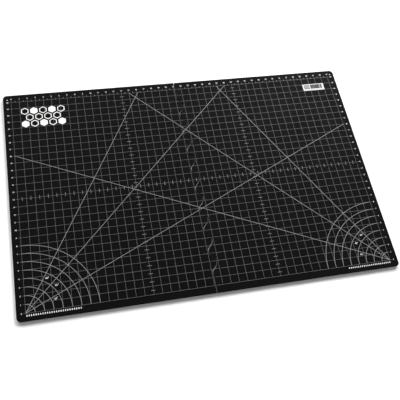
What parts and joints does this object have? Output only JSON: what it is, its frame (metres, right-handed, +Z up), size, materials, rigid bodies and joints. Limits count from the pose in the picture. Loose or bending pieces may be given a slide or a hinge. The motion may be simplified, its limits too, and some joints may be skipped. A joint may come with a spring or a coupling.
{
  "type": "folding cutting mat",
  "caption": "Flat self-healing cutting mat in bonded plies, with a printed centimetre grid, angle rules and arcs, that folds in half along a wavy centre seam.",
  "frame": {"origin": "middle of the mat's underside, on the fold line", "axes": "+Z up out of the printed face, +X along the mat's length from the left half to the right half, +Y along the depth towards the edge with the number row; the fold line is the Y axis"},
  "size_m": [0.45, 0.3, 0.0032],
  "materials": {
    "healing_black": "fine matt grained soft PVC, black",
    "ply_dark": "plain soft PVC, near black, cut edge",
    "ply_grey": "plain soft PVC, pale grey, cut edge",
    "core_grey": "stiffer PVC, light grey, cut edge",
    "ink_white": "thin screen-printed white ink",
    "label_paper": "white coated label paper",
    "label_glue": "thin clear-drying label adhesive"
  },
  "bodies": {
    "left_half": {"left_bottom_sheet": "healing_black", "left_hinge_ply": "ply_grey", "left_core": "core_grey", "left_upper_ply": "ply_dark", "left_top_sheet": "healing_black", "left_column_rules": "ink_white", "left_row_rules": "ink_white", "left_angle_rules": "ink_white"},
    "right_half": {"right_bottom_sheet": "healing_black", "right_hinge_ply": "ply_grey", "right_core": "core_grey", "right_upper_ply": "ply_dark", "right_top_sheet": "healing_black", "right_column_rules": "ink_white", "right_row_rules": "ink_white", "right_angle_rules": "ink_white", "price_label_glue": "label_glue", "price_label_paper": "label_paper"}
  },
  "joints": [
    {"name": "centre_fold", "type": "hinge", "parent": "left_half", "child": "right_half", "pos_m": [0, 0, 0], "axis": [0, 1, 0], "range_deg": [0, 178]}
  ]
}
